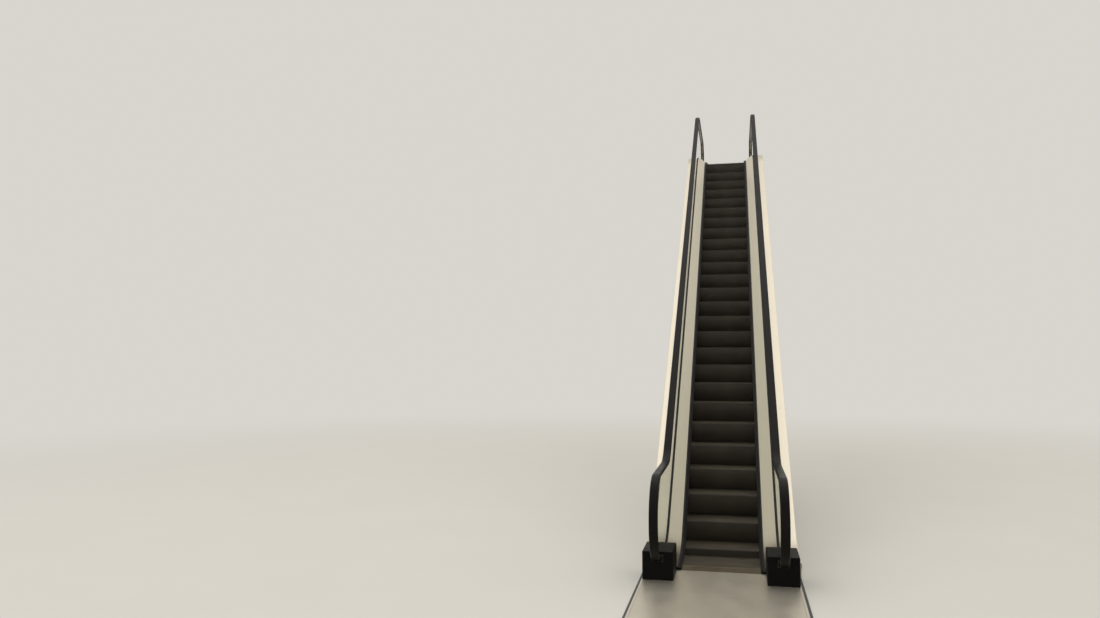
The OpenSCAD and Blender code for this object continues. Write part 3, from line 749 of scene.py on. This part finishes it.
def comb_plate():
    """Comb segments with their teeth and the ribbed carrier behind them, as at the lower landing."""
    whole = comb_tooth()
    geom = whole.verts[:] + whole.edges[:] + whole.faces[:]
    bmesh.ops.spin(whole, geom=geom, cent=(0, 0, 0), axis=(1, 0, 0), dvec=(CLEAT_PITCH, 0, 0), angle=0,
                   steps=CLEATS - 2, use_duplicate=True)
    half = SKIRT_X - GAP
    width = 2 * half / SEGMENTS
    for i in range(SEGMENTS):
        x = -half + i * width
        join(whole, block((x + SEGMENT_JOINT, SEGMENT_BACK + SEGMENT_JOINT, BASE_T),
                          (x + width - SEGMENT_JOINT, -COMB_LEN, PLATE_Z), 0.8 * MM, 1))
    join(whole, ribbed_plate(-half, half, -COMB_D, SEGMENT_BACK - SEGMENT_JOINT))
    return whole


def ribbed_plate(x0, x1, y0, y1):
    """A plate with shallow flat ribs along Y, nearly in the pitch of the cleats."""
    pitch = (x1 - x0) / RIBS
    bm = bmesh.new()
    valley = PLATE_Z - RIB_DEPTH
    columns = [(0, valley), (pitch * 0.3, valley), (pitch * 0.36, PLATE_Z), (pitch * 0.94, PLATE_Z),
               (pitch, valley)]
    verts = [bm.verts.new((x, y0, z)) for x, z in columns]
    for pair in zip(verts, verts[1:]):
        bm.edges.new(pair)
    bmesh.ops.spin(bm, geom=bm.verts[:] + bm.edges[:], cent=(0, 0, 0), axis=(1, 0, 0), dvec=(pitch, 0, 0),
                   angle=0, steps=RIBS - 1, use_duplicate=True)
    bmesh.ops.remove_doubles(bm, verts=bm.verts[:], dist=0.01 * MM)
    bmesh.ops.translate(bm, vec=(x0, 0, 0), verts=bm.verts[:])
    ends = sorted((v for v in bm.verts if len(v.link_edges) == 1), key=lambda v: v.co.x)
    low = [bm.verts.new((v.co.x, y0, BASE_T)) for v in ends]
    bm.edges.new((ends[0], low[0]))
    bm.edges.new((low[0], low[1]))
    bm.edges.new((low[1], ends[1]))
    bmesh.ops.edgenet_fill(bm, edges=bm.edges[:])
    made = bmesh.ops.extrude_face_region(bm, geom=bm.faces[:])["geom"]
    verts = [g for g in made if isinstance(g, bmesh.types.BMVert)]
    bmesh.ops.translate(bm, vec=(0, y1 - y0, 0), verts=verts)
    bmesh.ops.recalc_face_normals(bm, faces=bm.faces[:])
    return bm


def to_upper(bm):
    """Turns a piece of the lower landing round to the upper one."""
    bmesh.ops.scale(bm, vec=(1, -1, 1), verts=bm.verts[:])
    bmesh.ops.reverse_faces(bm, faces=bm.faces[:])
    bmesh.ops.translate(bm, vec=(0, UPPER_COMB, RISE), verts=bm.verts[:])
    return bm


def comb_screws():
    whole = bmesh.new()
    for i in range(COMB_SCREWS):
        x = (i - (COMB_SCREWS - 1) / 2) * COMB_SCREW_PITCH
        join(whole, screw(x, COMB_SCREW_Y, PLATE_Z - 0.3 * MM, 5 * MM))
    return whole


def make_combs():
    piece(comb_plate(), "lower_comb_segments", [COMB], ["lower_comb_plate"], 25)
    piece(to_upper(comb_plate()), "upper_comb_segments", [COMB], ["upper_comb_plate"], 25)
    piece(comb_screws(), "lower_comb_screws", [SCREW])
    piece(to_upper(comb_screws()), "upper_comb_screws", [SCREW])


# Floor plates: the frame round them and the gap beside each plate
FRAME_W = 22 * MM
PLATE_GAP = 1.2 * MM
PLATES = 2


def floor_plates(y0, y1):
    """Floor plates inside a narrow frame, with joints between them, at the lower landing's height."""
    whole = bmesh.new()
    inner_x = PLATE_X - FRAME_W - PLATE_GAP
    join(whole, block((-PLATE_X, y0, BASE_T), (-PLATE_X + FRAME_W, y1, PLATE_Z), 0.8 * MM, 2))
    join(whole, block((PLATE_X - FRAME_W, y0, BASE_T), (PLATE_X, y1, PLATE_Z), 0.8 * MM, 2))
    join(whole, block((-inner_x, y0, BASE_T), (inner_x, y0 + FRAME_W, PLATE_Z), 0.8 * MM, 2))
    start = y0 + FRAME_W + PLATE_GAP
    depth = (y1 - start + PLATE_GAP) / PLATES
    for i in range(PLATES):
        a = start + i * depth
        join(whole, block((-inner_x, a, BASE_T), (inner_x, a + depth - PLATE_GAP, PLATE_Z), 1 * MM, 2))
    return whole


def make_floor_plates():
    piece(floor_plates(LOWER_END, -COMB_D - GAP), "lower_floor_panels", [FLOOR_PLATE],
          ["lower_floor_plates"])
    upper = to_upper(floor_plates(UPPER_COMB - UPPER_END, -COMB_D - GAP))
    piece(upper, "upper_floor_panels", [FLOOR_PLATE], ["upper_floor_plates"])


# Balustrades

DECK_START = -COMB_D
DECK_END = UPPER_COMB + COMB_D


def inner_deck():
    points = [(SKIRT_X, DECK_FOOT - SHEET_T), (SKIRT_X, DECK_FOOT), (CHANNEL_X0, DECK_TOP),
              (CHANNEL_X0, DECK_TOP - SHEET_T / math.cos(DECK_SLOPE)),
              (SKIRT_X + SKIRT_T, DECK_FOOT - SHEET_T)]
    return swept(points, deck_lengths(DECK_START, DECK_END, SHEET_JOINT), [(1, 1.5 * MM)], 2)


def outer_deck():
    low = DECK_TOP - DECK_FALL
    points = [(CHANNEL_X1, DECK_TOP), (OUTER_X, low), (OUTER_X, low - DECK_LIP),
              (OUTER_X - SHEET_T, low - DECK_LIP), (OUTER_X - SHEET_T, low - SHEET_T),
              (CHANNEL_X1, DECK_TOP - SHEET_T)]
    return swept(points, deck_lengths(DECK_START, DECK_END, SHEET_JOINT), [(1, 4 * MM)], 4)


def gaskets():
    """The two lips of the gasket that close the channel against the glass, and its seat."""
    whole = bmesh.new()
    for a, b in ((CHANNEL_X0, GLASS_X - GLASS_PLAY), (GLASS_X + GLASS_T + GLASS_PLAY, CHANNEL_X1)):
        points = [(a, GASKET_FOOT), (b, GASKET_FOOT), (b, DECK_TOP), (a, DECK_TOP)]
        join(whole, swept(points, [nose_run(DECK_START, DECK_END)], [(3, 2.5 * MM), (2, 2.5 * MM)], 3))
    a, b = GLASS_X - GLASS_PLAY / 2, GLASS_X + GLASS_T + GLASS_PLAY / 2
    seat = [(a, GASKET_FOOT), (b, GASKET_FOOT), (b, GASKET_SEAT), (a, GASKET_SEAT)]
    join(whole, swept(seat, [nose_run(DECK_START, DECK_END)]))
    return whole


def brush_holder():
    """The holder of a brush deflector: black, with a grey edge along its inner face."""
    x, n = SKIRT_X - GAP, BRUSH_N
    inner, top = x - HOLDER_W, n + HOLDER_T
    points = [(x, n), (x, top), (inner + HOLDER_EDGE, top), (inner, top - HOLDER_EDGE), (inner, n)]
    bm = swept(points, deck_lengths(DECK_START, DECK_END, 1 * MM), [(2, 1 * MM), (3, 1 * MM)], 1)
    for f in bm.faces:
        at_edge = f.calc_center_median().x < inner + HOLDER_EDGE + 0.2 * MM
        f.material_index = int(at_edge and abs(f.normal.x) > 0.3)
    return bm


def bristles():
    """Two rows of bristles between the holder and the steps, which fall towards their tips."""
    whole = bmesh.new()
    x, tip = SKIRT_X - GAP - HOLDER_W, SKIRT_X - BRUSH_REACH
    for low, high, fall in ((0.2 * MM, 3.4 * MM, 2 * MM), (4.2 * MM, 7.6 * MM, 3.4 * MM)):
        points = [(x, BRUSH_N + low), (x, BRUSH_N + high), (tip, BRUSH_N + high - fall),
                  (tip, BRUSH_N + low - fall + 0.2 * MM)]
        join(whole, swept(points, [nose_run(DECK_START + 4 * MM, DECK_END - 4 * MM)]))
    return whole


def handrail():
    """The C profile of the handrail, whose lips reach round the head of its guide."""
    lip = 21.3 * MM
    slot = -11 * MM
    half = RAIL_W / 2
    points = [(lip, slot), (lip, -RAIL_T), (half, -RAIL_T), (half, 0), (-half, 0), (-half, -RAIL_T),
              (-lip, -RAIL_T), (-lip, slot)]
    bevels = [(1, RAIL_LIP_EDGE), (2, RAIL_EDGE), (3, RAIL_EDGE), (4, RAIL_EDGE), (5, RAIL_EDGE),
              (6, RAIL_LIP_EDGE)]
    bm = swept(points, [rail_run()], bevels, 5)
    bmesh.ops.translate(bm, vec=(RAIL_X, 0, 0), verts=bm.verts[:])
    return bm


def guide():
    """The guide under the handrail: a web from the glass up to a wider head."""
    head, web = 21 * MM, 8 * MM
    points = [(-web, -GUIDE_DROP), (web, -GUIDE_DROP), (web, GUIDE_NECK), (head, GUIDE_SHOULDER),
              (head, GUIDE_TOP), (-head, GUIDE_TOP), (-head, GUIDE_SHOULDER), (-web, GUIDE_NECK)]
    bm = swept(points, [rail_run()])
    bmesh.ops.translate(bm, vec=(RAIL_X, 0, 0), verts=bm.verts[:])
    return bm


def rail_box():
    """A handrail box with rounded edges and the mouth that the handrail runs into."""
    bm = block((BOX_X0, -NEWEL_Y, PLATE_Z), (BOX_X0 + BOX_W, -COMB_D, PLATE_Z + BOX_H))
    upright = [e for e in bm.edges if abs(e.verts[0].co.z - e.verts[1].co.z) > 0.1
               and e.verts[0].co.y < -NEWEL_Y + MM]
    bmesh.ops.bevel(bm, geom=upright, offset=BOX_EDGE, offset_type="OFFSET", segments=5, profile=0.5,
                    affect="EDGES", material=-1)
    top = [e for e in bm.edges if all(v.co.z > PLATE_Z + BOX_H - MM for v in e.verts)
           and any(v.co.y < -COMB_D - MM for v in e.verts)]
    bmesh.ops.bevel(bm, geom=top, offset=BOX_TOP_EDGE, offset_type="OFFSET", segments=4, profile=0.5,
                    affect="EDGES", material=-1)
    for point, normal in (((RAIL_X - MOUTH_X, 0, 0), (1, 0, 0)), ((RAIL_X + MOUTH_X, 0, 0), (1, 0, 0)),
                          ((0, 0, MOUTH_LOW), (0, 0, 1)), ((0, 0, MOUTH_TOP), (0, 0, 1))):
        bmesh.ops.bisect_plane(bm, geom=bm.verts[:] + bm.edges[:] + bm.faces[:], dist=1e-6, plane_co=point,
                               plane_no=normal)
    mouth = []
    for f in bm.faces:
        c = f.calc_center_median()
        if abs(c.y + NEWEL_Y) < 1e-5 and abs(c.x - RAIL_X) < MOUTH_X and MOUTH_LOW < c.z < MOUTH_TOP:
            mouth.append(f)
    made = bmesh.ops.extrude_face_region(bm, geom=mouth)["geom"]
    verts = [g for g in made if isinstance(g, bmesh.types.BMVert)]
    bmesh.ops.translate(bm, vec=(0, MOUTH_DEPTH, 0), verts=verts)
    bmesh.ops.delete(bm, geom=[f for f in mouth if f.is_valid], context="FACES")
    bmesh.ops.recalc_face_normals(bm, faces=bm.faces[:])
    return bm


def box_gaskets():
    """Rubber lips on both faces of the newel glass, where it stands on a handrail box."""
    whole = bmesh.new()
    top = PLATE_Z + BOX_H
    for a in (GLASS_X - GLASS_PLAY - LIP_T, GLASS_X + GLASS_T + GLASS_PLAY):
        join(whole, block((a, -NEWEL_Y, top - BOX_TOP_EDGE), (a + LIP_T, -COMB_D, top + LIP_H), 1 * MM, 2))
        join(whole, block((a, -NEWEL_Y - LIP_H, MOUTH_TOP), (a + LIP_T, -NEWEL_Y + BOX_TOP_EDGE, top + LIP_H),
                          1 * MM, 2))
    return whole


def hex_bolt(x, y, z):
    """A hexagon head on its washer, with the plain round end standing up through it."""
    whole = bmesh.new()
    for sides, radius, low, high in ((32, BOLT_ACROSS * 0.62, 0, WASHER_T),
                                     (6, BOLT_ACROSS / math.sqrt(3), WASHER_T, HEAD_TOP),
                                     (24, BOLT_ACROSS / 3, HEAD_TOP, BOLT_TOP)):
        bm = bmesh.new()
        bmesh.ops.create_cone(bm, cap_ends=True, segments=sides, radius1=radius, radius2=radius,
                              depth=high - low)
        rims = [e for e in bm.edges if abs(e.verts[0].co.z - e.verts[1].co.z) < 1e-6]
        bmesh.ops.bevel(bm, geom=rims, offset=0.8 * MM, offset_type="OFFSET", segments=1, profile=0.5,
                        affect="EDGES", material=-1)
        join(whole, bm, Matrix.Translation((x, y, z + (low + high) / 2)))
    return whole


def make_bearing_bolts():
    """The two levelling bolts of the upper bearing, over the holes in its shelf."""
    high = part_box("upper_bearing")[1]
    whole = bmesh.new()
    for x in (-BOLT_SPAN / 2, BOLT_SPAN / 2):
        join(whole, hex_bolt(x, high[1] - BOLT_EDGE, high[2]))
    piece(whole, "bearing_bolts", [SCREW], (), 30)


def end_plate_screws():
    """Pan head screws along the foot and both sides of the plate that closes the upper end."""
    low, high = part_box("upper_end_plate")
    whole = bmesh.new()
    left, right, foot = low[0] + END_SCREW_INSET, high[0] - END_SCREW_INSET, low[2] + END_SCREW_INSET
    width, height = high[0] - low[0] - 2 * END_SCREW_INSET, high[2] - low[2] - END_SCREW_CUT
    spots = [(left + width * i / END_SCREWS_ACROSS, foot) for i in range(END_SCREWS_ACROSS + 1)]
    for j in range(1, END_SCREWS_UP + 1):
        z = foot + height * j / END_SCREWS_UP
        spots += [(left, z), (right, z)]
    for x, z in spots:
        bm = bmesh.new()
        bmesh.ops.create_uvsphere(bm, u_segments=16, v_segments=8, radius=END_SCREW_R)
        cut_closed(bm, (0, 0, 0), (0, 0, -1))
        bmesh.ops.scale(bm, vec=(1, 1, 0.5), verts=bm.verts[:])
        turn = Matrix.Translation((x, high[1], z)) @ Matrix.Rotation(-math.pi / 2, 4, "X")
        join(whole, bm, turn)
    piece(whole, "end_plate_screws", [SCREW], (), 40)


def make_balustrades():
    both_sides(inner_deck, "inner_deck_sheets", [STAINLESS], ["inner_deck"])
    both_sides(outer_deck, "outer_deck_sheets", [STAINLESS], ["outer_deck"])
    both_sides(gaskets, "glass_gaskets", [GASKET], ["glass_channel"])
    both_sides(brush_holder, "brush_holder", [SKIRT, STRIP], ["skirt_brush"])
    both_sides(bristles, "brush_bristles", [BRISTLE])
    both_sides(handrail, "handrail_loop", [RUBBER], ["handrail"])
    both_sides(guide, "guide_rail", [GUIDE], ["handrail_guide"])
    both_sides(rail_box, "lower_rail_box", [PLASTIC], ["lower_box"])
    both_sides(lambda: to_upper(rail_box()), "upper_rail_box", [PLASTIC], ["upper_box"])
    both_sides(box_gaskets, "lower_box_gaskets", [GASKET])
    both_sides(lambda: to_upper(box_gaskets()), "upper_box_gaskets", [GASKET])


# Finishes of the solids that stay as they are

KEPT = {
    "base_frame": FRAME_STEEL, "truss_side_left": FRAME_STEEL, "truss_side_right": FRAME_STEEL,
    "track_bed": FRAME_STEEL, "upper_bearing": FRAME_STEEL, "upper_end_plate": FRAME_STEEL,
    "cladding_left": CLADDING, "cladding_right": CLADDING, "soffit": CLADDING,
    "skirt_left": SKIRT, "skirt_right": SKIRT,
    "glass_panels_left": GLASS, "glass_panels_right": GLASS, "lower_newel_glass_left": GLASS,
    "lower_newel_glass_right": GLASS, "upper_newel_glass_left": GLASS, "upper_newel_glass_right": GLASS,
    "inlet_collars": COLLAR,
}
for name, material in KEPT.items():
    mesh = nodes[name].data
    if not mesh.materials:
        mesh.materials.append(material)
    for i in range(len(mesh.materials)):
        mesh.materials[i] = material

make_steps()
make_combs()
make_floor_plates()
make_balustrades()
make_bearing_bolts()
end_plate_screws()


# Studio: large soft lamps, each with its name, place, target, width and power
FLOOR_HALF = 400
WORLD_STRENGTH = 0.76
LAMPS = (("ceiling", (0.0, 6.0, 20.0), (0, 6.1, 0), 24.0, 1150),
         ("key", (-10.0, -10.0, 15.0), (0, 4.5, 2.5), 14.0, 560))

# Camera, as fitted to the edges of the flight in the photo
CAMERA_PLACE = (0.166, -8.459, 1.970)
CAMERA_PITCH = math.radians(3.49)
CAMERA_YAW = math.radians(12.25)
CAMERA_LENS = 28.05
CAMERA_FILM = 36


def studio():
    bm = bmesh.new()
    bmesh.ops.create_grid(bm, x_segments=1, y_segments=1, size=FLOOR_HALF)
    mesh = bpy.data.meshes.new("studio_floor")
    bm.to_mesh(mesh)
    bm.free()
    mesh.materials.append(pale_floor())
    floor = bpy.data.objects.new("studio_floor", mesh)
    bpy.context.scene.collection.objects.link(floor)

    world = bpy.data.worlds.new("studio_world")
    bpy.context.scene.world = world
    world.use_nodes = True
    tree = world.node_tree
    tree.nodes.clear()
    light = add(tree, "ShaderNodeBackground", {"Color": linear("#f4f1ea"), "Strength": WORLD_STRENGTH})
    shown = add(tree, "ShaderNodeBackground", {"Color": linear(BACKDROP), "Strength": 1.0})
    mix = add(tree, "ShaderNodeMixShader", {0: seen_directly(tree), 1: light.outputs["Background"],
                                            2: shown.outputs["Background"]})
    add(tree, "ShaderNodeOutputWorld", {"Surface": mix.outputs["Shader"]})

    for name, place, target, size, power in LAMPS:
        lamp = bpy.data.lights.new(f"lamp_{name}", "AREA")
        lamp.size = size
        lamp.energy = power
        obj = bpy.data.objects.new(f"lamp_{name}", lamp)
        obj.location = place
        obj.rotation_euler = (Vector(target) - Vector(place)).to_track_quat("-Z", "Y").to_euler()
        bpy.context.scene.collection.objects.link(obj)


def photograph_camera():
    camera = bpy.data.cameras.new("camera")
    camera.sensor_width = CAMERA_FILM
    camera.lens = CAMERA_LENS
    camera.clip_end = 1000
    obj = bpy.data.objects.new("camera", camera)
    obj.location = CAMERA_PLACE
    obj.rotation_euler = (math.pi / 2 + CAMERA_PITCH, 0, CAMERA_YAW)
    bpy.context.scene.collection.objects.link(obj)
    bpy.context.scene.camera = obj


studio()
photograph_camera()
bpy.context.scene.view_settings.view_transform = "Standard"
